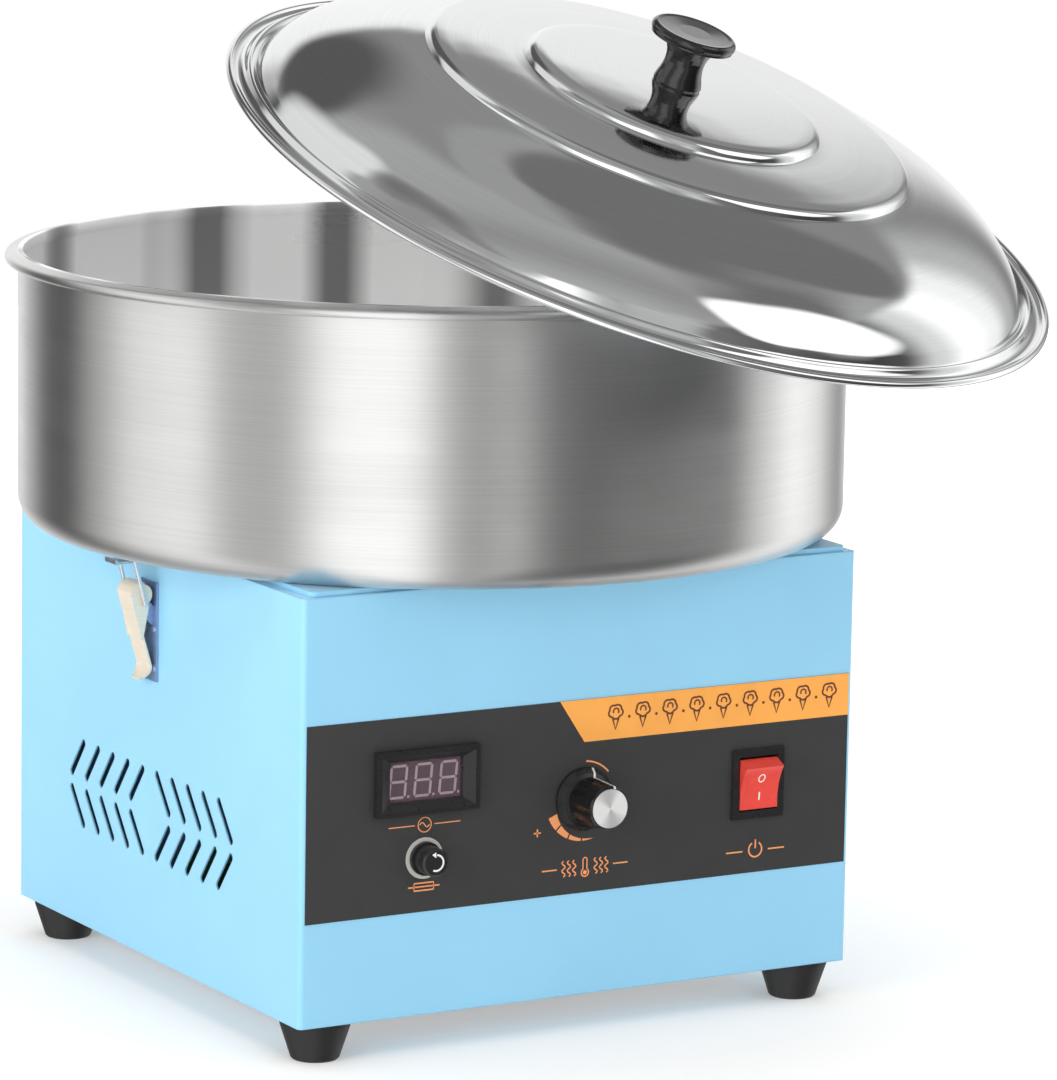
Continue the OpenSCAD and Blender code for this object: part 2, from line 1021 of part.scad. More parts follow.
module motor_stator() {
    color("sienna")
        ring(motor_r - 4, 37, bearing_low + 18, bearing_high - 12);
}

module motor_bearings() {
    color("silver")
        for (z = [bearing_low, bearing_high - 1])
            ring(bearing_r, spindle_r + running_gap, z, z + 9);
}

bracket_t = 3;

module motor_bracket() {
    size = 2 * standoff_at + 26;
    color("silver")
        difference() {
            translate([0, 0, bracket_z])
                rounded_plate(size, size, 10, bracket_t);
            translate([0, 0, bracket_z - 1])
                cylinder(r = 22, h = 10);
            at_standoffs()
                translate([0, 0, bracket_z - 1])
                    cylinder(r = 4, h = 10);
            at_motor_screws()
                cylinder(r = 2, h = bracket_z + 10, $fn = 32);
        }
}

module at_motor_screws() {
    for (a = [0:90:270])
        rotate([0, 0, a + 45])
            translate([38, 0, 0])
                children();
}

module motor_screws() {
    color("silver")
        at_motor_screws() {
            translate([0, 0, bracket_z - 12])
                cylinder(r = 2, h = 12 + bracket_t, $fn = 32);
            translate([0, 0, bracket_z + bracket_t])
                cylinder(r = 3.6, h = 3, $fn = 32);
        }
}

bush_h = 6;

// Rubber bushes with a waist that holds the bracket's plate
module motor_bushes() {
    color("black")
        at_standoffs()
            translate([0, 0, bracket_z])
                rotate_extrude()
                    polygon([[2.1, -bush_h], [9, -bush_h], [9, 0], [4, 0], [4, bracket_t],
                             [9, bracket_t], [9, bracket_t + bush_h], [2.1, bracket_t + bush_h]]);
}

module motor_standoffs() {
    low = bracket_z + bracket_t + bush_h;
    color("silver")
        at_standoffs() {
            translate([0, 0, low])
                cylinder(r = 6, h = deck_top - 1.5 - low, $fn = 6);
            translate([0, 0, bracket_z - bush_h - 2])
                cylinder(r = 2, h = low - bracket_z + bush_h + 2 + eps, $fn = 32);
            translate([0, 0, bracket_z - bush_h - 4])
                cylinder(r = 5, h = 4, $fn = 6);
        }
}

module brush_holder() {
    low = bracket_z + bracket_t;
    color("maroon")
        difference() {
            translate([24, -10, low])
                cube([24, 20, sleeve_high - low]);
            for (z = [sleeve_low + 6, sleeve_low + 22])
                translate([20, -4, z + 0.5])
                    cube([24, 8, 8]);
        }
}

module brushes() {
    gap = 0.3;
    color("black")
        for (z = [sleeve_low + 6, sleeve_low + 22])
            translate([ring_r + gap, -4, z + 0.5])
                cube([26, 8, 8]);
}

// ---- Electrics --------------------------------------------------------------

module control_board() {
    low = casing_bottom + sheet + base_t;
    board = low + 10;
    color("green")
        translate([-130, 40, 0]) {
            translate([0, 0, board])
                cube([90, 64, 1.6]);
            for (x = [6, 84], y = [6, 58])
                translate([x, y, low])
                    cylinder(r = 3, h = 10, $fn = 32);
            translate([12, 12, board + 1.6 - eps])
                cube([16, 40, 26]);
            translate([48, 44, board + 1.6 - eps])
                cylinder(r = 9, h = 22, $fn = 48);
            translate([58, 8, board + 1.6 - eps])
                cube([24, 12, 12]);
        }
}

gland_x = 110;
gland_z = 62;
gland_r = 8;
gland_bore = 4.5;

module cord_gland() {
    color("black")
        translate([gland_x, half_d, gland_z])
            rotate([-90, 0, 0])
                difference() {
                    union() {
                        translate([0, 0, -sheet - 12])
                            cylinder(r = gland_r, h = sheet + 13);
                        translate([0, 0, -sheet - 5])
                            cylinder(r = 13, h = 5, $fn = 6);
                        cylinder(r = 13, h = 5, $fn = 6);
                        translate([0, 0, 5 - eps])
                            cylinder(r = 10.5, h = 8);
                        translate([0, 0, 13 - eps])
                            cylinder(r1 = 10.5, r2 = 6.5, h = 6);
                    }
                    translate([0, 0, -30])
                        cylinder(r = gland_bore, h = 60);
                }
}

// ---- Lid --------------------------------------------------------------------

// Carries a lid piece from its closed seat to the raised pose
module raised_lid() {
    translate(lid_pivot)
        rotate(a = lid_open, v = lid_axis)
            translate([0, 0, lid_seat] - lid_pivot)
                children();
}

// Outer skin from the edge bead to the middle
function lid_skin() = concat(
    [[lid_r - 4, 2.8], [lid_r - 8, 2.2]],
    bend([lid_r - 10, 3], [lid_r - 13, 8], [lid_r - 17, 4.4], 5),
    bend([lid_r - 19, 6], [lid_r - 38, 40], [148, 52], 10),
    bend([146, 54.5], [144.5, 57.4], [141, 57.6], 3),
    [[115, 59.6], [91, 60.4]],
    bend([89, 62.2], [87.6, 65.2], [84, 65.6], 3),
    [[45, 67], [15, lid_top], [4, lid_top]]);

module lid_shell() {
    skin = lid_skin();
    color("silver")
        raised_lid()
            rotate_extrude($fn = 180) {
                polygon(concat(skin, reversed(lowered(skin, lid_t))));
                translate([lid_r - lid_bead, lid_bead])
                    circle(lid_bead, $fn = 24);
            }
}

module lid_knob() {
    low = lid_top;
    disc = low + 27;
    edge = 25.5;
    color("black")
        raised_lid()
            rotate_extrude()
                polygon(concat(
                    [[2.5, low], [14, low], [14.4, low + 1.5]],
                    bend([13.8, low + 4], [9.5, low + 15], [13.5, low + 22], 6),
                    bend([15, low + 24.5], [19, low + 26.4], [edge - 1, disc + 0.6], 4),
                    arc(edge - 3, disc + 4, 3, -50, 80, 6),
                    [[edge - 5, disc + 6.6], [10, disc + 6], [0, disc + 6], [0, low + 16],
                     [2.5, low + 16]]));
}

module lid_screw() {
    low = lid_top - lid_t;
    color("silver")
        raised_lid() {
            translate([0, 0, low])
                cylinder(r = 2.5, h = 16, $fn = 32);
            translate([0, 0, low - 1.2])
                cylinder(r = 9, h = 1.2);
            translate([0, 0, low - 4.2])
                cylinder(r1 = 3.4, r2 = 5, h = 3, $fn = 48);
        }
}

casing_shell();
top_deck();
base_plate();
base_screws();
feet();
foot_screws();
foot_nuts();
control_decal();
accent_strip();
voltmeter_bezel();
voltmeter_window();
voltmeter_display();
voltmeter_case();
fuse_holder();
fuse_ring();
fuse_nut();
fuse_cap();
fuse_link();
temperature_knob();
knob_insert();
dimmer_shaft();
dimmer_body();
dimmer_nut();
switch_housing();
switch_rocker();
switch_terminals();
bowl();
bowl_collar();
bowl_catches();
latch_left_base();
latch_left_lever();
latch_left_bail();
latch_right_base();
latch_right_lever();
latch_right_bail();
latch_pins();
head_pan();
head_heater();
head_insulators();
head_band();
head_cap();
head_screws();
spindle();
slip_ring_sleeve();
slip_rings();
rotor();
motor_housing();
motor_stator();
motor_bearings();
motor_bracket();
motor_screws();
motor_bushes();
motor_standoffs();
brush_holder();
brushes();
control_board();
cord_gland();
lid_shell();
lid_knob();
lid_screw();
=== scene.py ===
"""Looks for the cotton candy machine: camera, light, materials, and the fine pieces that ride on
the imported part."""

import json
import math

import bmesh
import bpy
from mathutils import Matrix, Vector


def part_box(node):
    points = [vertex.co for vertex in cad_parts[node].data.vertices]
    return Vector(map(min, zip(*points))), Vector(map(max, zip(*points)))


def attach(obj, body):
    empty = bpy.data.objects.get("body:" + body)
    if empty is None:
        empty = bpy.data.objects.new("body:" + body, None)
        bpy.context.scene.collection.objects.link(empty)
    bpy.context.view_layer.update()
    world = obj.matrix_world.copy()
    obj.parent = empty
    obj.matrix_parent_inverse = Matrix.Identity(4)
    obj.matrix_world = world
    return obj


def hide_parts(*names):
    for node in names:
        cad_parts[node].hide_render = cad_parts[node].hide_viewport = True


MM = 0.001
WHITE = (1.0, 1.0, 1.0, 1.0)

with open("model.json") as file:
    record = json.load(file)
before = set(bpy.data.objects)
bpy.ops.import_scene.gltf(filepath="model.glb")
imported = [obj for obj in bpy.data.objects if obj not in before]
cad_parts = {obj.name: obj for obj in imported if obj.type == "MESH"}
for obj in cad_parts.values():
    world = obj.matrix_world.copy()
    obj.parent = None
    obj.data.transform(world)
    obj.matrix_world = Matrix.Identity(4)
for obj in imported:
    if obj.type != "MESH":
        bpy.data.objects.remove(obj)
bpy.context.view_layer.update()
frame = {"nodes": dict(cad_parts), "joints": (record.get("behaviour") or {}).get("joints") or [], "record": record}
record = frame["record"]
nodes = frame["nodes"]
scene = bpy.context.scene


# ---- Camera ----------------------------------------------------------------

SENSOR_WIDTH = 36
LENS = 194.93
CAMERA_PLACE = (-1.73135, -3.07591, 0.89301)
# Yaw to the right of +Y, pitch below the horizon and roll to the right, in degrees
CAMERA_ANGLES = (30.352, 10.039, 1.004)


def make_camera():
    """A long lens in front of the left corner, looking down a little."""
    data = bpy.data.cameras.new("camera")
    data.sensor_width = SENSOR_WIDTH
    data.lens = LENS
    data.clip_start = 0.1
    data.clip_end = 100
    yaw, pitch, roll = (math.radians(a) for a in CAMERA_ANGLES)
    flat = math.cos(pitch)
    forward = Vector((math.sin(yaw) * flat, math.cos(yaw) * flat, -math.sin(pitch)))
    level = Vector((math.cos(yaw), -math.sin(yaw), 0))
    raised = level.cross(forward)
    right = level * math.cos(roll) + raised * math.sin(roll)
    up = raised * math.cos(roll) - level * math.sin(roll)
    camera = bpy.data.objects.new("camera", data)
    scene.collection.objects.link(camera)
    turn = Matrix((right, up, -forward)).transposed().to_4x4()
    camera.matrix_world = Matrix.Translation(CAMERA_PLACE) @ turn
    scene.camera = camera
    return yaw


CAMERA_YAW = make_camera()


# ---- Stage and light -------------------------------------------------------

FLOOR_RADIUS = 3.0
BACKDROP_RADIUS = 28
# The floor's glow grows from the first distance to the second, which hides its edge
GLOW_DISTANCES = (0.8, 2.6)
GLOW_STRENGTHS = (0.24, 1.1)
# How far the mirrored panels' outlines waver, and how soft their edges are
PANEL_WARP = 0.34
PANEL_OUTER, PANEL_INNER = 1.32, 0.68
# Heights between which the walls' panels give way to the ceiling
CEILING_FROM, CEILING_TO = 0.49, 0.55


def add_node(tree, kind, **settings):
    node = tree.nodes.new("ShaderNode" + kind)
    for key, value in settings.items():
        setattr(node, key, value)
    return node


def stage_piece(name, shape, lit, **sizes):
    """A stage object from one of bmesh's shapes; reflections never show it."""
    mesh = bpy.data.meshes.new(name)
    made = bmesh.new()
    shape(made, **sizes)
    made.to_mesh(mesh)
    made.free()
    obj = bpy.data.objects.new(name, mesh)
    scene.collection.objects.link(obj)
    obj.visible_camera = True
    obj.visible_diffuse = lit
    obj.visible_shadow = lit
    obj.visible_glossy = False
    obj.visible_transmission = False
    obj.visible_volume_scatter = False
    return mesh


def make_world():
    """A soft studio: pale and dark panels all round, and a grey ceiling with soft boxes in it."""
    world = bpy.data.worlds.new("studio")
    scene.world = world
    world.use_nodes = True
    tree = world.node_tree
    tree.nodes.clear()

    def add(kind, **settings):
        return add_node(tree, kind, **settings)

    def ramp(source, stops, low, high):
        """Grey levels read off a list of (place, level) between low and high."""
        share = add("MapRange")
        share.inputs["From Min"].default_value = low
        share.inputs["From Max"].default_value = high
        tree.links.new(source, share.inputs["Value"])
        node = add("ValToRGB")
        node.color_ramp.interpolation = "EASE"
        elements = node.color_ramp.elements
        while len(elements) > 1:
            elements.remove(elements[-1])
        for i, (place, level) in enumerate(stops):
            at = (place - low) / (high - low)
            stop = elements[0] if i == 0 else elements.new(at)
            stop.position = at
            stop.color = (level,) * 3 + (1,)
        tree.links.new(share.outputs["Result"], node.inputs["Fac"])
        return node.outputs["Color"]

    def blend(factor, a, b):
        node = add("Mix", data_type="RGBA", blend_type="MIX")
        for socket, value in (("Factor", factor), ("A", a), ("B", b)):
            if isinstance(value, bpy.types.NodeSocket):
                tree.links.new(value, node.inputs[socket])
            else:
                node.inputs[socket].default_value = value
        return node.outputs["Result"]

    where = add("TexCoord")
    turn = add("Mapping")
    # After this turn +Y points from the machine to the camera and -X to the camera's right.
    turn.inputs["Rotation"].default_value = (0, 0, math.pi + CAMERA_YAW)
    tree.links.new(where.outputs["Generated"], turn.inputs["Vector"])
    split = add("SeparateXYZ")
    tree.links.new(turn.outputs["Vector"], split.inputs[0])
    angle = add("Math", operation="ARCTAN2")
    tree.links.new(split.outputs["X"], angle.inputs[0])
    tree.links.new(split.outputs["Y"], angle.inputs[1])
    right_of_camera = add("Math", operation="MULTIPLY")
    right_of_camera.inputs[1].default_value = -180 / math.pi
    tree.links.new(angle.outputs[0], right_of_camera.inputs[0])

    # Brightness of the panels by their direction, in degrees to the right of the camera.
    around = ramp(
        right_of_camera.outputs[0],
        [
            (-180, 1.0), (-160, 0.95), (-146, 0.50), (-132, 0.10), (-118, 0.08), (-104, 0.48),
            (-88, 0.98), (-68, 1.1), (-56, 0.50), (-42, 0.50), (-24, 1.35), (-6, 1.35),
            (8, 0.50), (13, 0.36), (23, 0.62), (36, 0.18), (52, 0.12), (78, 0.05), (90, 0.08),
            (106, 0.75), (120, 1.25), (134, 1.0), (146, 0.50), (156, 0.26), (168, 0.90), (180, 1.0),
        ],
        -180,
        180,
    )
    # Brightness of the ceiling, from far behind the machine to over the camera.
    overhead = ramp(
        split.outputs["Y"],
        [(-0.9, 0.24), (-0.6, 0.26), (-0.25, 0.40), (0.1, 0.38), (0.45, 0.30), (0.9, 0.45)],
        -1,
        1,
    )
    # The panels' outlines are uneven, as things mirrored in a room are.
    ripple = add("TexNoise")
    ripple.inputs["Scale"].default_value = 1.5
    ripple.inputs["Detail"].default_value = 0.6
    tree.links.new(turn.outputs["Vector"], ripple.inputs["Vector"])
    centred = add("VectorMath", operation="SUBTRACT")
    centred.inputs[1].default_value = (0.5, 0.5, 0.5)
    tree.links.new(ripple.outputs["Color"], centred.inputs[0])
    warp = add("VectorMath", operation="MULTIPLY_ADD")
    warp.inputs[1].default_value = (PANEL_WARP,) * 3
    tree.links.new(centred.outputs["Vector"], warp.inputs[0])
    tree.links.new(turn.outputs["Vector"], warp.inputs[2])
    height = add("SeparateXYZ")
    tree.links.new(warp.outputs["Vector"], height.inputs[0])
    rise = add("MapRange", interpolation_type="SMOOTHSTEP")
    rise.inputs["From Min"].default_value = CEILING_FROM
    rise.inputs["From Max"].default_value = CEILING_TO
    tree.links.new(height.outputs["Z"], rise.inputs["Value"])
    level = blend(rise.outputs["Result"], around, overhead)

    # Panels overhead: degrees right of the camera, degrees up, half width in degrees, brightness.
    panels = (
        (176, 55, 22, 0.27), (-156, 46, 17, 0.10), (-106, 44, 17, 0.78),
        (-45, 52, 15, 0.17), (18, 34, 13, 0.50), (130, 60, 13, 0.34),
        (128, 44, 12, 0.17), (97, 48, 15, 0.17), (72, 25, 14, 1.25),
    )
    for aside, up, half, strength in panels:
        a, e = math.radians(aside), math.radians(up)
        towards = (-math.sin(a) * math.cos(e), math.cos(a) * math.cos(e), math.sin(e))
        near = add("VectorMath", operation="DOT_PRODUCT")
        near.inputs[1].default_value = towards
        tree.links.new(warp.outputs["Vector"], near.inputs[0])
        soft = add("MapRange", interpolation_type="SMOOTHSTEP")
        soft.inputs["From Min"].default_value = math.cos(math.radians(half * PANEL_OUTER))
        soft.inputs["From Max"].default_value = math.cos(math.radians(half * PANEL_INNER))
        tree.links.new(near.outputs["Value"], soft.inputs["Value"])
        level = blend(soft.outputs["Result"], level, (strength,) * 3 + (1,))

    back = add("Background")
    tree.links.new(level, back.inputs["Color"])
    out = add("OutputWorld")
    tree.links.new(back.outputs[0], out.inputs["Surface"])


def make_light(name, place, target, size, watts, shade=(1, 1, 1)):
    """A soft box that lights the machine and isn't seen in reflections."""
    data = bpy.data.lights.new(name, "AREA")
    data.shape = "RECTANGLE"
    data.size, data.size_y = size
    data.energy = watts
    data.color = shade
    light = bpy.data.objects.new(name, data)
    scene.collection.objects.link(light)
    light.location = place
    light.rotation_mode = "QUATERNION"
    light.rotation_quaternion = (Vector(target) - Vector(place)).to_track_quat("-Z", "Y")
    light.visible_camera = False
    light.visible_glossy = False


def make_floor():
    mesh = stage_piece(
        "floor", bmesh.ops.create_circle, True, cap_ends=True, segments=96, radius=FLOOR_RADIUS
    )
    paper = bpy.data.materials.new("floor_paper")
    paper.use_nodes = True
    tree = paper.node_tree
    shader = tree.nodes["Principled BSDF"]
    shader.inputs["Base Color"].default_value = (0.80, 0.785, 0.77, 1)
    shader.inputs["Emission Color"].default_value = WHITE
    shader.inputs["Roughness"].default_value = 0.9
    shader.inputs["Specular IOR Level"].default_value = 0.1
    distance = add_node(tree, "VectorMath", operation="LENGTH")
    tree.links.new(add_node(tree, "TexCoord").outputs["Object"], distance.inputs[0])
    glow = add_node(tree, "MapRange")
    glow.inputs["From Min"].default_value, glow.inputs["From Max"].default_value = GLOW_DISTANCES
    glow.inputs["To Min"].default_value, glow.inputs["To Max"].default_value = GLOW_STRENGTHS
    tree.links.new(distance.outputs["Value"], glow.inputs["Value"])
    tree.links.new(glow.outputs["Result"], shader.inputs["Emission Strength"])
    mesh.materials.append(paper)


def make_backdrop():
    mesh = stage_piece(
        "backdrop", bmesh.ops.create_uvsphere, False, u_segments=48, v_segments=24, radius=BACKDROP_RADIUS
    )
    glow = bpy.data.materials.new("backdrop_glow")
    glow.use_nodes = True
    tree = glow.node_tree
    tree.nodes.clear()
    emit = add_node(tree, "Emission")
    emit.inputs["Color"].default_value = WHITE
    out = add_node(tree, "OutputMaterial")
    tree.links.new(emit.outputs[0], out.inputs["Surface"])
    mesh.materials.append(glow)


make_world()
make_floor()
make_backdrop()
make_light("top_softbox", (0.2, -0.3, 2.6), (0, 0, 0.2), (3.6, 3.6), 80)
make_light("left_softbox", (-3.2, -1.0, 1.2), (0, 0, 0.25), (1.6, 2.0), 52, (1.0, 0.97, 0.93))
make_light("front_softbox", (0.4, -3.4, 1.4), (0, 0, 0.25), (2.0, 1.6), 6)
scene.view_settings.view_transform = "Standard"
scene.view_settings.look = "None"


# ---- Materials -------------------------------------------------------------


class Finish:
    """Builds one Principled material, with its texture nodes."""

    def __init__(self, name, colour, roughness, metallic=0.0, **sockets):
        self.material = bpy.data.materials.new(name)
        self.material.use_nodes = True
        self.tree = self.material.node_tree
        self.shader = self.tree.nodes["Principled BSDF"]
        self.shader.inputs["Base Color"].default_value = tuple(colour) + (1,)
        self.shader.inputs["Roughness"].default_value = roughness
        self.shader.inputs["Metallic"].default_value = metallic
        for key, value in sockets.items():
            self.shader.inputs[key.replace("_", " ")].default_value = value
        self.colour = tuple(colour)
        self.roughness = roughness
        self.place = self.add("TexCoord").outputs["Object"]
        self.normal = None

    def add(self, kind, **settings):
        return add_node(self.tree, kind, **settings)

    def link(self, source, target):
        self.tree.links.new(source, target)

    def scaled(self, scale, offset=(0, 0, 0), turn=(0, 0, 0)):
        node = self.add("Mapping")
        node.inputs["Location"].default_value = offset
        node.inputs["Rotation"].default_value = turn
        node.inputs["Scale"].default_value = scale
        self.link(self.place, node.inputs["Vector"])
        return node.outputs["Vector"]

    def rings(self, axis, centre, per_metre, along=3.0):
        """Coordinates that make noise run in circles round an axis through centre."""
        flat = [1, 1, 1]
        flat[axis] = 0
        moved = self.add("Mapping")
        moved.inputs["Location"].default_value = [-c * f for c, f in zip(centre, flat)]
        moved.inputs["Scale"].default_value = flat
        self.link(self.place, moved.inputs["Vector"])
        length = self.add("VectorMath", operation="LENGTH")
        self.link(moved.outputs["Vector"], length.inputs[0])
        out = self.add("Math", operation="MULTIPLY")
        out.inputs[1].default_value = per_metre
        self.link(length.outputs["Value"], out.inputs[0])
        split = self.add("SeparateXYZ")
        self.link(self.scaled((along,) * 3), split.inputs[0])
        join = self.add("CombineXYZ")
        self.link(out.outputs[0], join.inputs["X"])
        across, up = "XYZ".replace("XYZ"[axis], "")
        self.link(split.outputs[across], join.inputs["Y"])
        self.link(split.outputs[up], join.inputs["Z"])
        return join.outputs[0]

    def noise(self, vector, detail=3.0, rough=0.55, scale=1.0):
        node = self.add("TexNoise")
        node.inputs["Scale"].default_value = scale
        node.inputs["Detail"].default_value = detail
        node.inputs["Roughness"].default_value = rough
        self.link(vector, node.inputs["Vector"])
        return node.outputs["Fac"]

    def spread(self, value, low, high, from_low=0.3, from_high=0.7):
        node = self.add("MapRange")
        node.inputs["From Min"].default_value = from_low
        node.inputs["From Max"].default_value = from_high
        node.inputs["To Min"].default_value = low
        node.inputs["To Max"].default_value = high
        self.link(value, node.inputs["Value"])
        return node.outputs["Result"]

    def vary_roughness(self, value, amount):
        spread = self.spread(value, self.roughness - amount, self.roughness + amount)
        self.link(spread, self.shader.inputs["Roughness"])

    def mix_colours(self, factor, a, b):
        mix = self.add("Mix", data_type="RGBA")
        mix.inputs["A"].default_value = a
        mix.inputs["B"].default_value = b
        self.link(factor, mix.inputs["Factor"])
        self.link(mix.outputs["Result"], self.shader.inputs["Base Color"])

    def vary_colour(self, value, amount):
        """Mixes the colour towards a darker one."""
        darker = tuple(c * (1 - amount) for c in self.colour)
        self.mix_colours(self.spread(value, 0.0, 1.0), self.colour + (1,), darker + (1,))

    def soft_edges(self, radius):
        """Rounds the look of the edges, as the real piece's are."""
        node = self.add("Bevel", samples=4)
        node.inputs["Radius"].default_value = radius
        self.normal = node.outputs["Normal"]
        self.link(self.normal, self.shader.inputs["Normal"])

    def bump(self, value, depth, strength=1.0):
        node = self.add("Bump")
        node.inputs["Strength"].default_value = strength
        node.inputs["Distance"].default_value = depth
        self.link(value, node.inputs["Height"])
        if self.normal is not None:
            self.link(self.normal, node.inputs["Normal"])
        self.normal = node.outputs["Normal"]
        self.link(self.normal, self.shader.inputs["Normal"])

    def grain(self, axis, amount):
        """Stretches the highlights across a grain that runs round an axis."""
        node = self.add("Tangent", direction_type="RADIAL", axis=axis)
        self.shader.inputs["Anisotropic"].default_value = amount
        self.shader.inputs["Anisotropic Rotation"].default_value = 0.25
        self.link(node.outputs["Tangent"], self.shader.inputs["Tangent"])


def powder_coat(name, colour):
    f = Finish(name, colour, 0.36, Specular_IOR_Level=0.5, Sheen_Weight=0.3, Sheen_Roughness=0.45)
    f.soft_edges(1.6 * MM)
    f.vary_colour(f.noise(f.scaled((9, 9, 9)), 4), 0.05)
    f.vary_roughness(f.noise(f.scaled((60, 60, 60)), 3), 0.05)
    f.bump(f.noise(f.scaled((520, 520, 520)), 2), 0.00006)
    return f.material


def film(name, colour, roughness=0.42):
    f = Finish(name, colour, roughness, Specular_IOR_Level=0.45)
    f.vary_colour(f.noise(f.scaled((40, 40, 40)), 4), 0.08)
    f.vary_roughness(f.noise(f.scaled((90, 90, 90)), 3), 0.05)
    f.bump(f.noise(f.scaled((1400, 1400, 1400)), 2), 0.00002)
    return f.material


def plastic(name, colour, roughness=0.4, edge=0.5, **more):
    f = Finish(name, colour, roughness, **more)
    f.soft_edges(edge * MM)
    f.vary_colour(f.noise(f.scaled((70, 70, 70)), 3), 0.12)
    f.vary_roughness(f.noise(f.scaled((180, 180, 180)), 4), 0.04)
    f.bump(f.noise(f.scaled((1500, 1500, 1500)), 2), 0.000008)
    return f.material


def metal(
    name, colour, roughness, grain=(300, 300, 300), depth=0.00002, vary=0.06, edge=0.4, metallic=1.0
):
    f = Finish(name, colour, roughness, metallic=metallic)
    f.soft_edges(edge * MM)
    streak = f.noise(f.scaled(grain), 4)
    f.vary_colour(streak, 0.10)
    f.vary_roughness(f.noise(f.scaled((45, 45, 45)), 4), vary)
    f.bump(streak, depth)
    return f.material


def turned_metal(name, colour, roughness, axis, centre, per_metre=2500, edge=0.4):
    """Lathe marks in circles round an axis."""
    f = Finish(name, colour, roughness, metallic=1.0)
    f.soft_edges(edge * MM)
    marks = f.noise(f.rings(axis, centre, per_metre), 3)
    f.vary_colour(marks, 0.18)
    f.vary_roughness(marks, 0.06)
    f.bump(marks, 0.00003)
    f.grain("XYZ"[axis], 0.7)
    return f.material


def bowl_metal():
    f = Finish("bowl_steel", (0.83, 0.828, 0.82), 0.34, metallic=1.0)
    lines = f.noise(f.scaled((5, 5, 1300)), 5, 0.65)
    broad = f.noise(f.scaled((7, 7, 40)), 3)
    f.vary_colour(lines, 0.10)
    f.vary_roughness(broad, 0.03)
    f.bump(lines, 0.00002, 0.5)
    f.grain("Z", 0.86)
    return f.material


def bowl_inside_metal():
    """Brushed steel, only partly metallic.

    Its broad light and dark bands are painted in its colour. They are fixed to the bowl
    and stand in for the reflections of the opposite wall.
    """
    f = Finish("bowl_steel_inside", (0.97, 0.97, 0.975), 0.30, metallic=0.40)
    lines = f.noise(f.scaled((5, 5, 1300)), 5, 0.65)
    towards = f.add("VectorMath", operation="NORMALIZE")
    f.link(f.scaled((1, 1, 0)), towards.inputs[0])
    bands = f.noise(towards.outputs["Vector"], 1.0, scale=3.0)
    f.mix_colours(f.spread(bands, 0, 1, 0.40, 0.53), (0.22, 0.22, 0.22, 1), WHITE)
    f.vary_roughness(f.noise(f.scaled((7, 7, 40)), 3), 0.03)
    f.bump(lines, 0.00002, 0.5)
    f.grain("Z", 0.8)
    return f.material


# The gap between the closed lid and the rim, in millimetres
LID_GAP = 0.3


def lid_pose():
    """Where the raised lid is: its seat turned about the record's own joint axis."""
    joint = next(j for j in frame["joints"] if j["name"] == "lid_lower")
    pivot = Vector(joint["pos_m"])
    turn = Matrix.Rotation(math.radians(-joint["range_deg"][0]), 4, Vector(joint["axis"]))
    seat = Vector((0, 0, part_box("bowl")[1].z + LID_GAP * MM))
    return Matrix.Translation(pivot) @ turn @ Matrix.Translation(seat - pivot)


LID = lid_pose()


def lid_metal():
    """Polished steel, with its marks laid out in the lid's own level frame."""
    f = Finish("lid_steel", (0.90, 0.905, 0.91), 0.06, metallic=1.0)
    level = LID.inverted()
    f.place = f.scaled((1, 1, 1), level.to_translation(), turn=level.to_euler())
    polish = f.noise(f.rings(2, (0, 0, 0), 900, 2.0), 4)
    waves = f.noise(f.scaled((16, 16, 16)), 2)
    f.vary_colour(polish, 0.05)
    f.vary_roughness(polish, 0.012)
    f.bump(waves, 0.0003, 0.5)
    f.bump(polish, 0.000008, 0.5)
    return f.material


def glass(name, colour):
    f = Finish(name, colour, 0.05, Transmission_Weight=1.0, IOR=1.45)
    f.vary_roughness(f.noise(f.scaled((60, 60, 60)), 3), 0.02)
    f.bump(f.noise(f.scaled((250, 250, 250)), 2), 0.00001)
    return f.material


def tinted_window(name, colour, alpha):
    """A dark film that shows what is behind it."""
    f = Finish(name, colour, 0.12, Alpha=alpha, Specular_IOR_Level=0.5)
    f.vary_roughness(f.noise(f.scaled((60, 60, 60)), 3), 0.02)
    f.bump(f.noise(f.scaled((40, 40, 40)), 1), 0.000004)
    return f.material


def spun_disc(name, axis, centre):
    """A turned face, only partly metallic.

    Its two bright and two dark sectors are painted in its colour, in place of the shine
    of its lathe marks.
    """
    f = Finish(name, (0.95, 0.95, 0.95), 0.32, metallic=0.35, Specular_IOR_Level=0.8)
    f.soft_edges(0.3 * MM)
    flat = [i for i in range(3) if i != axis]
    moved = f.scaled((1, 1, 1), [-c for c in centre])
    split = f.add("SeparateXYZ")
    f.link(moved, split.inputs[0])
    angle = f.add("Math", operation="ARCTAN2")
    f.link(split.outputs["XYZ"[flat[1]]], angle.inputs[0])
    f.link(split.outputs["XYZ"[flat[0]]], angle.inputs[1])
    sectors, first = 2, 1.1
    double = f.add("Math", operation="MULTIPLY_ADD")
    double.inputs[1].default_value = sectors
    double.inputs[2].default_value = first
    f.link(angle.outputs[0], double.inputs[0])
    wave = f.add("Math", operation="SINE")
    f.link(double.outputs[0], wave.inputs[0])
    marks = f.noise(f.rings(axis, centre, 5000), 3)
    joined = f.add("Math", operation="MULTIPLY_ADD")
    joined.inputs[1].default_value = 0.10
    f.link(marks, joined.inputs[0])
    f.link(wave.outputs[0], joined.inputs[2])
    f.mix_colours(f.spread(joined.outputs[0], 0, 1, -0.9, 0.35), (0.60, 0.60, 0.61, 1), WHITE)
    f.vary_roughness(marks, 0.05)
    f.bump(marks, 0.000004)
    return f.material


def middle(node):
    low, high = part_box(node)
    return (low + high) / 2


finishes = {}


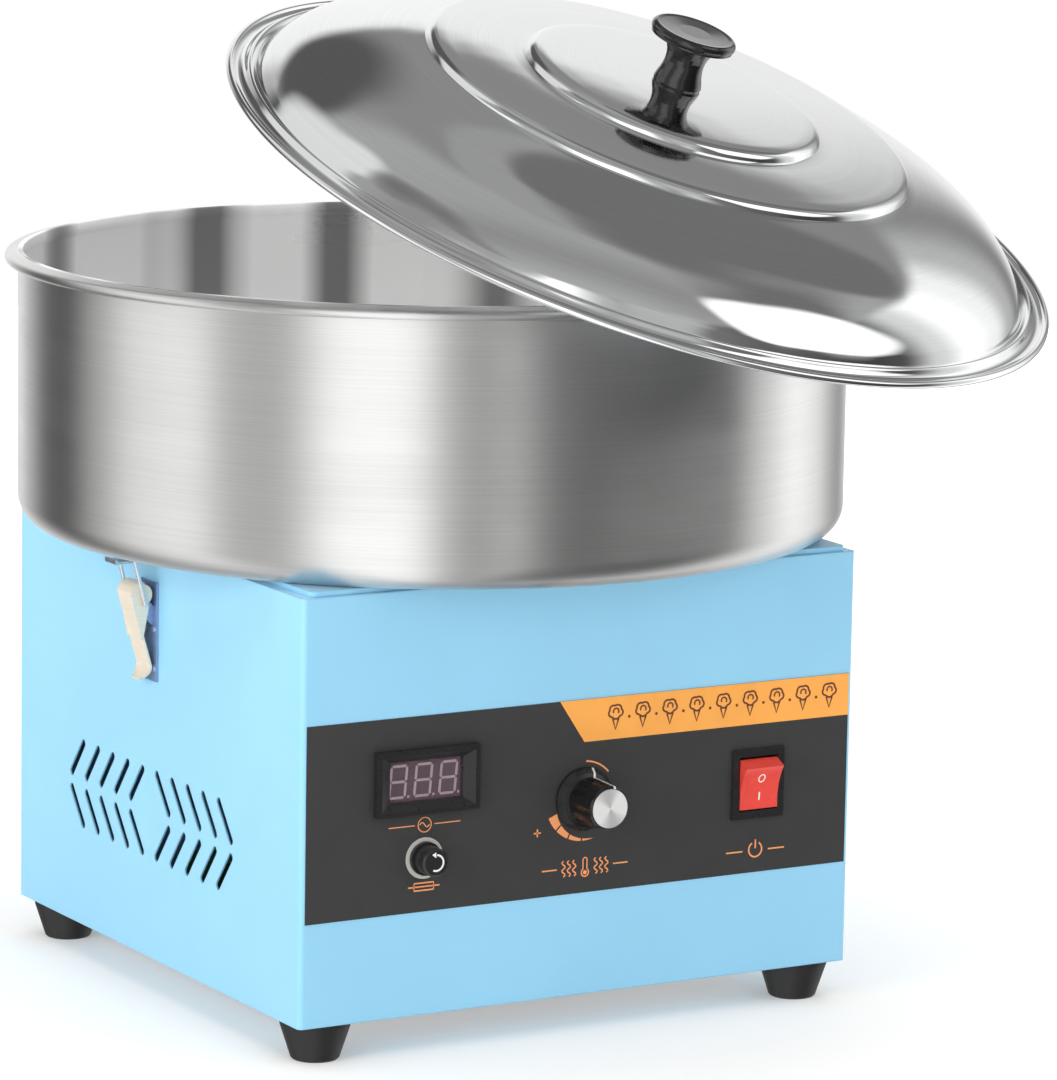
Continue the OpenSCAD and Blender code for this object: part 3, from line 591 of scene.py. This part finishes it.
def keep(recipe, name, *values, **more):
    """Makes a finish and files it under its own name."""
    finishes[name] = recipe(name, *values, **more)


def make_materials():
    keep(powder_coat, "casing_paint", (0.30, 0.655, 0.90))
    keep(powder_coat, "deck_paint", (0.30, 0.655, 0.90))
    keep(metal, "plated_steel", (0.70, 0.71, 0.72), 0.32, vary=0.10)
    keep(plastic, "foot_rubber", (0.018, 0.018, 0.018), 0.55, 1.2)
    keep(film, "decal_film", (0.047, 0.047, 0.048))
    keep(film, "strip_film", (1.0, 0.43, 0.08))
    keep(plastic, "black_plastic", (0.020, 0.020, 0.021), 0.30, 0.2)
    keep(tinted_window, "meter_glass", (0.10, 0.070, 0.085), 0.30)
    # The digits' faint glow (emission 0.25) is painted light; the display itself is off.
    keep(
        plastic, "display_grey", (0.86, 0.68, 0.76), 0.5, 0.2,
        Emission_Color=(0.86, 0.68, 0.76, 1), Emission_Strength=0.25,
    )
    keep(plastic, "ring_plastic", (0.55, 0.54, 0.50), 0.4, 0.2)
    keep(glass, "fuse_glass", (0.9, 0.93, 0.93))
    keep(plastic, "knob_black", (0.010, 0.010, 0.011), 0.28, 0.6)
    keep(spun_disc, "spun_aluminium", 1, middle("knob_insert"))
    keep(metal, "shaft_steel", (0.66, 0.66, 0.67), 0.25, (40, 40, 2500))
    keep(plastic, "phenolic_brown", (0.16, 0.07, 0.035), 0.4)
    keep(plastic, "rocker_red", (0.86, 0.075, 0.055), 0.24, 0.8, Coat_Weight=0.3)
    keep(metal, "terminal_brass", (0.80, 0.62, 0.32), 0.28)
    finishes["bowl_steel"] = bowl_metal()
    finishes["bowl_steel_inside"] = bowl_inside_metal()
    finishes["lid_steel"] = lid_metal()
    # The latch is tinted cream and blue, as its plating looks in the photograph. Both tints are painted
    # reflections:
    # the cream is warm light on the lever and the blue is the casing mirrored in the plate. The latch is only
    # partly metallic.
    keep(metal, "latch_steel", (0.90, 0.81, 0.68), 0.34, (60, 60, 900), depth=0.000004, metallic=0.2)
    keep(metal, "latch_plate", (0.30, 0.42, 0.66), 0.30, (60, 60, 900), depth=0.000004, metallic=0.55)
    keep(metal, "latch_wire", (0.92, 0.92, 0.94), 0.16, (400, 400, 400), depth=0.000004, edge=0.1)
    keep(turned_metal, "head_aluminium", (0.78, 0.78, 0.79), 0.30, 2, (0, 0, 0), 1800, 0.8)
    keep(metal, "heater_wire", (0.22, 0.18, 0.16), 0.5, (500, 500, 500))
    keep(plastic, "ceramic", (0.82, 0.79, 0.73), 0.5, 0.3)
    keep(metal, "band_steel", (0.74, 0.74, 0.74), 0.28, (30, 30, 1500))
    keep(plastic, "slip_insulation", (0.22, 0.045, 0.03), 0.4)
    keep(turned_metal, "slip_brass", (0.82, 0.62, 0.32), 0.25, 2, (0, 0, 0), 3000)
    keep(powder_coat, "motor_iron", (0.09, 0.095, 0.105))
    keep(metal, "stator_core", (0.30, 0.20, 0.14), 0.45, (40, 40, 2200))
    keep(plastic, "bush_rubber", (0.02, 0.02, 0.02), 0.6, 0.6)
    keep(plastic, "carbon", (0.02, 0.02, 0.021), 0.55, 0.2)
    keep(plastic, "board_green", (0.015, 0.14, 0.05), 0.35, 0.2)
    keep(plastic, "lid_knob_black", (0.008, 0.008, 0.009), 0.14, 0.4, Coat_Weight=0.5)


make_materials()


def put_on(obj, name):
    """Gives an object one of the record's finishes."""
    if not obj.material_slots:
        obj.data.materials.append(finishes[name])
    for place in obj.material_slots:
        place.link = "OBJECT"
        place.material = finishes[name]


for row in record["subparts"]:
    put_on(nodes[row["node"]], row["material_slot"])
for side in ("left", "right"):
    put_on(nodes[f"latch_{side}_base"], "latch_plate")
    put_on(nodes[f"latch_{side}_bail"], "latch_wire")
put_on(nodes["bowl_catches"], "plated_steel")


# ---- Mesh helpers ----------------------------------------------------------


TURNS = 288
SHARP_DEGREES = 50


def spun(name, profile, matrix=None):
    """A closed ring about Z from an outline of (radius, height) in millimetres, then moved by matrix."""
    points, faces = [], []
    for r, z in profile:
        for i in range(TURNS):
            a = 2 * math.pi * i / TURNS
            points.append((r * MM * math.cos(a), r * MM * math.sin(a), z * MM))
    starts = [row * TURNS for row in range(len(profile))]
    for a, b in zip(starts, starts[1:] + starts[:1]):
        for i in range(TURNS):
            j = (i + 1) % TURNS
            faces.append((a + i, a + j, b + j, b + i))
    mesh = bpy.data.meshes.new(name)
    mesh.from_pydata(points, [], faces)
    made = bmesh.new()
    made.from_mesh(mesh)
    bmesh.ops.recalc_face_normals(made, faces=made.faces)
    made.to_mesh(mesh)
    made.free()
    mesh.polygons.foreach_set("use_smooth", [True] * len(mesh.polygons))
    mesh.set_sharp_from_angle(angle=math.radians(SHARP_DEGREES))
    mesh.update()
    if matrix is not None:
        mesh.transform(matrix)
    obj = bpy.data.objects.new(name, mesh)
    scene.collection.objects.link(obj)
    return obj


def arc(cx, cy, r, start, end, steps):
    """Points along an arc, from start to end in degrees."""
    turns = [math.radians(start + (end - start) * i / steps) for i in range(steps + 1)]
    return [(cx + r * math.cos(a), cy + r * math.sin(a)) for a in turns]


def bend(a, b, c, steps):
    """Points along a quadratic curve."""
    out = []
    for i in range(steps + 1):
        t = i / steps
        near, between, far = (1 - t) ** 2, 2 * t * (1 - t), t * t
        out.append(tuple(p * near + q * between + r * far for p, q, r in zip(a, b, c)))
    return out


# ---- Bowl ------------------------------------------------------------------


def make_bowl():
    """The spun bowl: one outline up the outside, round the rolled rim and down the inside."""
    low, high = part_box("bowl")
    wall, floor_z, top = 252.0, low.z / MM, high.z / MM
    corner, sheet = 17.0, 1.2
    corner_x, corner_z = wall - corner, floor_z + corner
    hole = 32.0
    bead = (257.0, top - 4.5)
    outline = [(hole, floor_z)]
    outline += arc(corner_x, corner_z, corner, -90, 0, 14)
    outline += [(wall, floor_z + 60), (wall, top - 60), (wall, top - 10)]
    outline += bend((wall, top - 8.4), (wall, top - 6.6), (bead[0] - 2.6, bead[1] - 1.5), 4)
    outline += arc(bead[0], bead[1], 3.0, -140, 72, 18)
    outline += bend((bead[0] - 0.6, bead[1] + 3.2), (253, top - 0.4), (250.6, top), 4)
    outline += arc(249.8, top - 0.8, 0.8, 90, 180, 5)
    outline += bend((249.0, top - 3.5), (249.2, top - 6.5), (wall - sheet, top - 9), 4)
    outline += [(wall - sheet, top - 60), (wall - sheet, floor_z + 60)]
    outline += arc(corner_x, corner_z, corner - sheet, 0, -90, 14)
    outline += [(hole, floor_z + sheet)]
    obj = spun("bowl_wall", outline)
    obj.data.materials.append(finishes["bowl_steel"])
    obj.data.materials.append(finishes["bowl_steel_inside"])
    inside = (wall - sheet / 2) * MM
    for face in obj.data.polygons:
        centre = face.center
        radius = math.hypot(centre.x, centre.y)
        outward = face.normal.x * centre.x + face.normal.y * centre.y
        if radius < inside and (outward < 0 or face.normal.z > 0.5):
            face.material_index = 1
    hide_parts("bowl")
    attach(obj, "machine")


make_bowl()


# ---- Lid -------------------------------------------------------------------


def make_lid():
    """The domed lid: a bead and a groove at its edge, a dome, and two low steps round the knob."""
    edge, sheet = 252.0, 1.2
    skin = bend((edge - 9.5, 2.6), (edge - 11, 3.4), (edge - 12, 5.6), 4)
    skin += bend((edge - 12.6, 6.6), (edge - 14.2, 7.6), (edge - 16.5, 5.0), 6)
    skin += bend((edge - 17.4, 4.2), (edge - 18.2, 4.4), (edge - 19, 6), 3)
    skin += bend((edge - 19.4, 7.5), (214, 40), (149, 52), 34)[1:]
    skin += bend((147.6, 52.4), (146.6, 57.2), (141.5, 57.6), 6)
    skin += bend((135, 58.0), (112, 59.8), (92, 60.4), 6)
    skin += bend((89.8, 60.6), (88.6, 65.2), (84, 65.6), 6)
    skin += bend((78, 65.9), (45, 67.2), (16, 67.5), 6)
    skin += [(9, 67.5)]
    lip = [(edge - 4.2, 2.9), (edge - 6, 2.2), (edge - 8, 2.1)]
    outer = lip + skin
    inner = [(r, z - sheet) for r, z in outer]
    bead = arc(edge - 2.2, 2.2, 2.2, -160, 160, 20)
    outline = inner[::-1] + bead + outer
    obj = spun("lid_dome", outline, LID)
    put_on(obj, "lid_steel")
    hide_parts("lid_shell")
    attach(obj, "lid")


make_lid()


# ---- Front panel -----------------------------------------------------------

# Sizes that the boxes don't give, in millimetres and degrees
GRIP_R, GRIP_LOW = 14, 6
POINTER_AT = 75.5
ROCKER_TILT, ROCKER_DISH, DISH_RADIUS = 14, 6.5, 40.0
# Width of most printed lines, and how far a mark stands off its face
LINE = 0.9
STAND_OFF = 0.02


# Finishes for the marks
keep(film, "orange_ink", (0.95, 0.36, 0.13), 0.45)
keep(film, "brown_ink", (0.16, 0.045, 0.022), 0.5)
keep(film, "white_ink", (0.88, 0.88, 0.87), 0.4)
keep(film, "display_board", (0.25, 0.17, 0.21), 0.6)


def joint_at(name):
    joint = next(j for j in frame["joints"] if j["name"] == name)
    return Vector(joint["pos_m"])


def stroke(points, width, closed=False):
    """Four-sided faces that follow a line of points, width wide."""
    n = len(points)
    sides = []
    for i, p in enumerate(points):
        a = points[(i - 1) % n] if closed or i > 0 else p
        b = points[(i + 1) % n] if closed or i < n - 1 else p
        dx, dy = b[0] - a[0], b[1] - a[1]
        length = math.hypot(dx, dy) or 1
        off = (-dy / length * width / 2, dx / length * width / 2)
        sides.append(((p[0] + off[0], p[1] + off[1]), (p[0] - off[0], p[1] - off[1])))
    ahead = sides[1:] + sides[:1] if closed else sides[1:]
    return [[a[0], a[1], b[1], b[0]] for a, b in zip(sides, ahead)]


def circle(cx, cy, r, steps=28):
    return arc(cx, cy, r, 0, 360 - 360 / steps, steps - 1)


def printed(name, faces, place, ink, body="machine", thickness=0.12):
    """Thin marks built from outlines in millimetres; place turns (across, up, out) into a point."""
    made = bmesh.new()
    for outline in faces:
        corners = [made.verts.new(place(x * MM, y * MM, 0.0)) for x, y in outline]
        fronts = [made.verts.new(place(x * MM, y * MM, thickness * MM)) for x, y in outline]
        made.faces.new(fronts)
        made.faces.new(corners[::-1])
        for i in range(len(corners)):
            j = (i + 1) % len(corners)
            made.faces.new((corners[i], corners[j], fronts[j], fronts[i]))
    bmesh.ops.recalc_face_normals(made, faces=made.faces)
    mesh = bpy.data.meshes.new(name)
    made.to_mesh(mesh)
    made.free()
    mesh.update()
    obj = bpy.data.objects.new(name, mesh)
    scene.collection.objects.link(obj)
    put_on(obj, ink)
    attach(obj, body)
    return obj


def on_plane(y):
    """A place function for marks on a face that looks along -Y."""
    return lambda across, up, out: Vector((across, y - out + STAND_OFF * MM, up))


def shifted(faces, dx, dy, k=1.0):
    """Outlines made k times as large, then moved."""
    return [[(x * k + dx, y * k + dy) for x, y in outline] for outline in faces]


def make_labels():
    """The orange marks on the dark film."""
    face = on_plane(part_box("control_decal")[0].y)

    def mark(name, faces):
        printed(name, faces, face, "orange_ink")

    dial, fuse, switch = (joint_at(j) for j in ("temperature_turn", "fuse_twist", "power_rock"))
    dial_x, dial_z = dial.x / MM, dial.z / MM
    meter = middle("voltmeter_window")

    # Dial scale: a thin arc over the knob and a wedge that widens towards full heat
    marks = stroke(arc(dial_x, dial_z, 22.4, 86, 41, 14), 1.0)
    scale_r, widest, thinnest, hot_end, cold_end, steps = 25.5, 6, 0.15, 203, 286, 6
    for start, end in ((hot_end, 223), (225.5, 245), (247.5, 267), (269.5, cold_end)):
        outer = arc(dial_x, dial_z, scale_r, start, end, steps)
        inner = []
        for i in range(steps + 1):
            at = start + (end - start) * i / steps
            r = scale_r - (widest * (cold_end - at) / (cold_end - hot_end) + thinnest)
            a = math.radians(at)
            inner.append((dial_x + r * math.cos(a), dial_z + r * math.sin(a)))
        for i in range(steps):
            marks.append([outer[i], outer[i + 1], inner[i + 1], inner[i]])
    mark("dial_scale", marks)

    # Plus sign at the hot end
    arm = 2.4
    plus = stroke([(-arm, 0), (arm, 0)], LINE) + stroke([(0, -arm), (0, arm)], LINE)
    mark("dial_plus", shifted(plus, dial_x - 31, dial_z - 18))

    # Thermometer between two rising waves, for temperature
    stem = stroke(arc(0, 4.6, 1.5, 0, 180, 8) + arc(0, -3.6, 2.7, 123, 417, 18), 0.8, closed=True)
    waves = []
    for x in (-16, -12, -8, 8, 12, 16):
        waves += stroke([(x + 1.3 * math.sin(t * 1.25), -5.2 + t * 1.04) for t in range(11)], LINE)
    waves += stroke([(-32, 0), (-21, 0)], LINE) + stroke([(21, 0), (32, 0)], LINE)
    bulb = [circle(0, -3.6, 1.4)]
    mark("heat_mark", shifted(stem + waves + bulb, dial_x + 2, dial_z - 41.5, 0.92))

    # Sine wave in a ring, for the meter
    sine = stroke([(t * 0.5 - 5, 2.1 * math.sin(t * math.pi / 10)) for t in range(21)], LINE)
    sine += stroke(circle(0, 0, 6.6), 0.85, closed=True)
    sides = stroke([(-36, 0), (-10, 0)], LINE) + stroke([(10, 0), (36, 0)], LINE)
    mark("meter_mark", shifted(sine + sides, meter.x / MM, fuse.z / MM + 19.8, 0.66))

    # A fuse's circuit symbol
    w, h = 6.5, 2.2
    box = stroke([(-w, -h), (0, -h), (w, -h), (w, 0), (w, h), (0, h), (-w, h), (-w, 0)], 0.85, True)
    line = stroke([(-10.5, 0), (10.5, 0)], 0.8)
    mark("fuse_mark", shifted(box + line, fuse.x / MM, fuse.z / MM - 17))

    # The usual power sign
    power = stroke(arc(0, 0, 4.6, 122, 418, 26), 1.0) + stroke([(0, 0.6), (0, 6.0)], 1.0)
    dashes = stroke([(-20.5, -0.6), (-9, -0.6)], LINE) + stroke([(9, -0.6), (20.5, -0.6)], LINE)
    mark("power_mark", shifted(power + dashes, switch.x / MM, switch.z / MM - 41))


def floss_icon():
    """A cloud of floss on a paper cone, as line work about 11 mm high."""
    cloud = []
    for t in range(0, 360, 8):
        a = math.radians(t)
        r = 3.9 + 0.75 * abs(math.cos(2.5 * a + 0.6))
        cloud.append((r * math.cos(a), 2.4 + 0.88 * r * math.sin(a)))
    curl = arc(0.2, 2.6, 1.7, -40, 210, 14)
    cone = [(-1.9, -1.5), (0, -7.4), (1.9, -1.5)]
    return stroke(cloud, 1.05, True) + stroke(curl, LINE) + stroke(cone, 1.05)


def make_title_icons():
    """A row of floss icons along the strip, with dots between them."""
    low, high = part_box("accent_strip")
    strip = on_plane(low.y)
    left, right = low.x / MM + 38, high.x / MM - 14
    centre = (low.z + high.z) / 2 / MM + 1.0
    marks = []
    count, size = 9, 1.08
    pitch = (right - left) / (count - 1)
    for i in range(count):
        x = left + pitch * i
        marks += shifted(floss_icon(), x, centre, size)
        if i < count - 1:
            marks.append(circle(x + pitch / 2, centre - 1, 0.9, 16))
    printed("strip_icons", marks, strip, "brown_ink")


def make_digits():
    """Three unlit seven-part digits behind the window, each with its point; their faint glow is painted light."""
    window_low, window_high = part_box("voltmeter_window")
    display_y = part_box("voltmeter_display")[0].y
    centre = middle("voltmeter_window") / MM
    lean = math.tan(math.radians(5))
    half_w, half_h, thick, pitch = 5.1, 9.3, 1.5, 16.6

    def bar(a, b):
        """A bar with pointed ends."""
        dx, dy = b[0] - a[0], b[1] - a[1]
        length = math.hypot(dx, dy)
        ux, uy = dx / length, dy / length
        gap, tip = 0.35, thick / 2
        a = (a[0] + ux * gap, a[1] + uy * gap)
        b = (b[0] - ux * gap, b[1] - uy * gap)
        nx, ny = -uy * thick / 2, ux * thick / 2
        near = (a[0] + ux * tip, a[1] + uy * tip)
        far = (b[0] - ux * tip, b[1] - uy * tip)
        return [
            a, (near[0] + nx, near[1] + ny), (far[0] + nx, far[1] + ny),
            b, (far[0] - nx, far[1] - ny), (near[0] - nx, near[1] - ny),
        ]

    corners = {(i, j): (i * half_w, j * half_h) for i in (-1, 1) for j in (-1, 0, 1)}
    digit = [bar(corners[-1, j], corners[1, j]) for j in (-1, 0, 1)]
    digit += [bar(corners[i, j], corners[i, j + 1]) for i in (-1, 1) for j in (-1, 0)]
    digit.append([(7.0, -9.9), (8.4, -9.9), (8.4, -8.5), (7.0, -8.5)])
    digit = [[(x + y * lean, y) for x, y in outline] for outline in digit]
    faces = []
    for i in (-1, 0, 1):
        faces += shifted(digit, centre.x - 0.9 + i * pitch, centre.z)
    digit_face = on_plane(display_y + 0.35 * MM)
    digits = printed("display_digits", faces, digit_face, "display_grey", thickness=0.3)
    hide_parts("voltmeter_display")

    # The card behind the digits, in upright panels
    half = (window_high - window_low) / 2 / MM
    w, h, panels = half.x - 0.2, half.z - 0.2, 12
    rows = []
    for i in range(panels):
        x0, x1 = -w + 2 * w * i / panels, -w + 2 * w * (i + 1) / panels
        rows.append([(x0, -h), (x1, -h), (x1, h), (x0, h)])
    card = shifted(rows, centre.x, centre.z)
    printed("display_card", card, on_plane(display_y + 0.9 * MM), "display_board")


def make_knob_pointer():
    """A white line from the knob's insert over its ridge and down the skirt."""
    axis = joint_at("temperature_turn")
    low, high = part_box("temperature_knob")
    skirt = (high.x - low.x) / 2 / MM
    face = (axis.y - low.y) / MM
    angle = math.radians(POINTER_AT)
    line = [
        (11.9, face), (GRIP_R - 1.8, face), (GRIP_R - 0.8, face - 1), (GRIP_R, GRIP_LOW + 1),
        (skirt - 2.5, GRIP_LOW), (skirt, 2.4),
    ]
    made = bmesh.new()
    width, lift = 0.7, 0.14
    across = Vector((-math.sin(angle), 0, math.cos(angle)))
    rows = []
    for i, (r, h) in enumerate(line):
        a, b = line[max(0, i - 1)], line[min(len(line) - 1, i + 1)]
        dr, dh = b[0] - a[0], b[1] - a[1]
        length = math.hypot(dr, dh)
        out_r, out_h = -dh / length * lift, dr / length * lift
        rows.append([])
        for k in (-0.03, 1.0):
            rr, hh = (r + out_r * k) * MM, (h + out_h * k) * MM
            point = axis + Vector((rr * math.cos(angle), -hh, rr * math.sin(angle)))
            for side in (-1, 1):
                rows[-1].append(made.verts.new(point + across * side * width * MM))
    for a, b in zip(rows, rows[1:]):
        for i, j in ((0, 1), (1, 3), (3, 2), (2, 0)):
            made.faces.new((a[i], a[j], b[j], b[i]))
    for row in (rows[0], rows[-1]):
        made.faces.new((row[0], row[1], row[3], row[2]))
    bmesh.ops.recalc_face_normals(made, faces=made.faces)
    mesh = bpy.data.meshes.new("knob_pointer")
    made.to_mesh(mesh)
    made.free()
    obj = bpy.data.objects.new("knob_pointer", mesh)
    scene.collection.objects.link(obj)
    put_on(obj, "white_ink")
    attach(obj, "temperature_dial")


def make_rocker_marks():
    """The O and I moulded on the rocker's dished face."""
    pivot = joint_at("power_rock")
    tilt = math.radians(ROCKER_TILT)

    def place(across, up, out):
        y = up / MM
        z = ROCKER_DISH + DISH_RADIUS - math.sqrt(DISH_RADIUS**2 - y**2) + out / MM
        return Vector((
            pivot.x + across,
            pivot.y - (y * math.sin(tilt) + z * math.cos(tilt)) * MM,
            pivot.z + (y * math.cos(tilt) - z * math.sin(tilt)) * MM,
        ))

    turns = [t * math.pi / 12 for t in range(24)]
    faces = stroke([(2.1 * math.cos(a), 5.6 + 2.6 * math.sin(a)) for a in turns], 0.7, True)
    faces += [[(-0.45, -8.6), (0.45, -8.6), (0.45, -3.6), (-0.45, -3.6)]]
    printed("rocker_marks", faces, place, "white_ink", "power_rocker", 0.1)


def make_fuse_arrow():
    """A turning arrow on the fuse cap's face."""
    centre = joint_at("fuse_twist")
    arrow = stroke(arc(0, 0, 4.7, -115, 85, 22), 1.1)
    arrow.append([(-0.2, 3.0), (-0.2, 6.4), (-2.8, 5.0)])
    faces = shifted(arrow, centre.x / MM, centre.z / MM)
    face = on_plane(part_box("fuse_cap")[0].y)
    printed("fuse_arrow", faces, face, "white_ink", "fuse_carrier", 0.1)


make_labels()
make_title_icons()
make_digits()
make_knob_pointer()
make_rocker_marks()
make_fuse_arrow()
